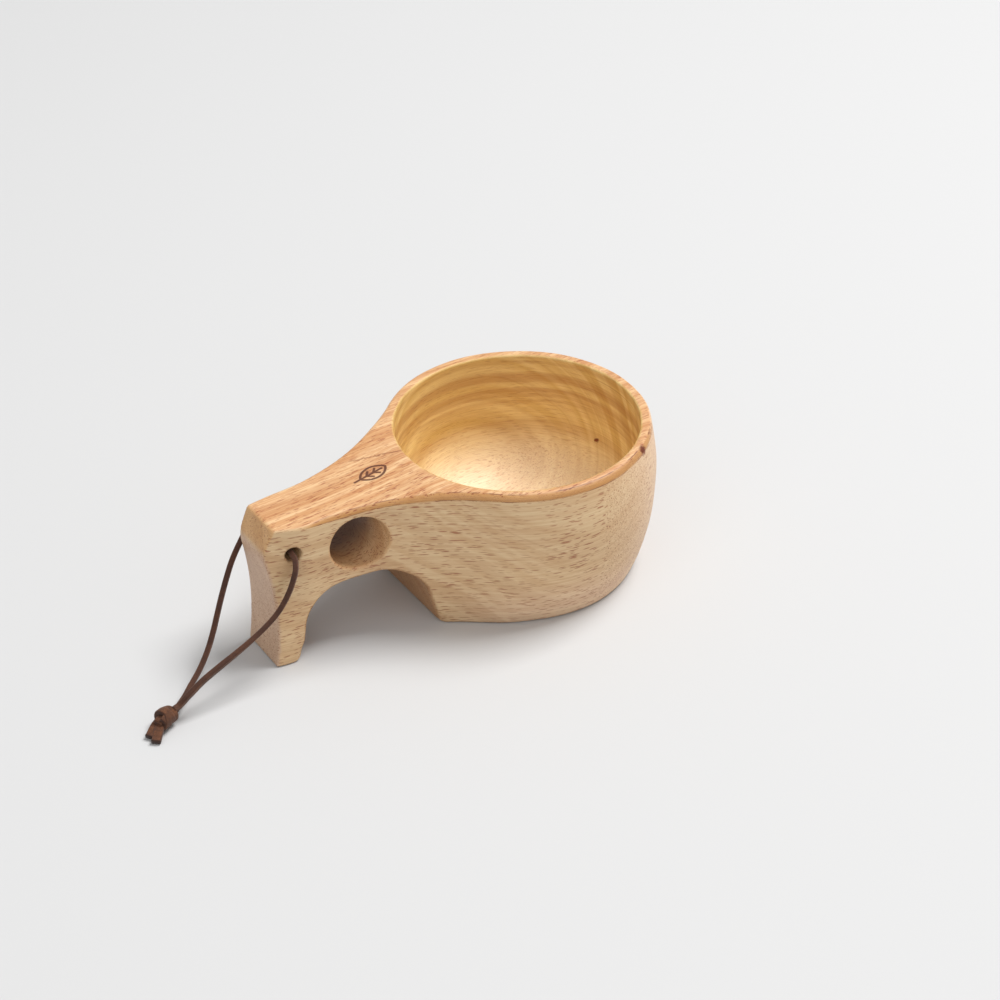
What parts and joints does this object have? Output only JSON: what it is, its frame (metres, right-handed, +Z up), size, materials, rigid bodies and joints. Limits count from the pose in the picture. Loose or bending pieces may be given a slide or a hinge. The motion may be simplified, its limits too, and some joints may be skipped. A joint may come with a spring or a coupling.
{
  "type": "wooden drinking cup",
  "caption": "Carved wooden drinking cup with a pierced handle that stands on its own leg, and a knotted leather thong through the handle.",
  "frame": {"origin": "middle of the cup's round base, on the floor", "axes": "+Z up, out of the bowl; the handle points along -X; Y runs across the handle, along its holes"},
  "size_m": [0.1963, 0.0932, 0.0535],
  "materials": {
    "cup_wood": "oiled, satin",
    "thong_leather": "matt, oiled"
  },
  "bodies": {
    "cup": {"wooden_cup": "cup_wood"},
    "thong": {"thong_near_leg": "thong_leather", "thong_far_leg": "thong_leather", "thong_knot": "thong_leather", "thong_near_tail": "thong_leather", "thong_far_tail": "thong_leather"}
  },
  "joints": [
    {"name": "thong_swing", "type": "hinge", "parent": "cup", "child": "thong", "pos_m": [-0.0905, 0, 0.0415], "axis": [0, 1, 0], "range_deg": [0, 60]}
  ]
}
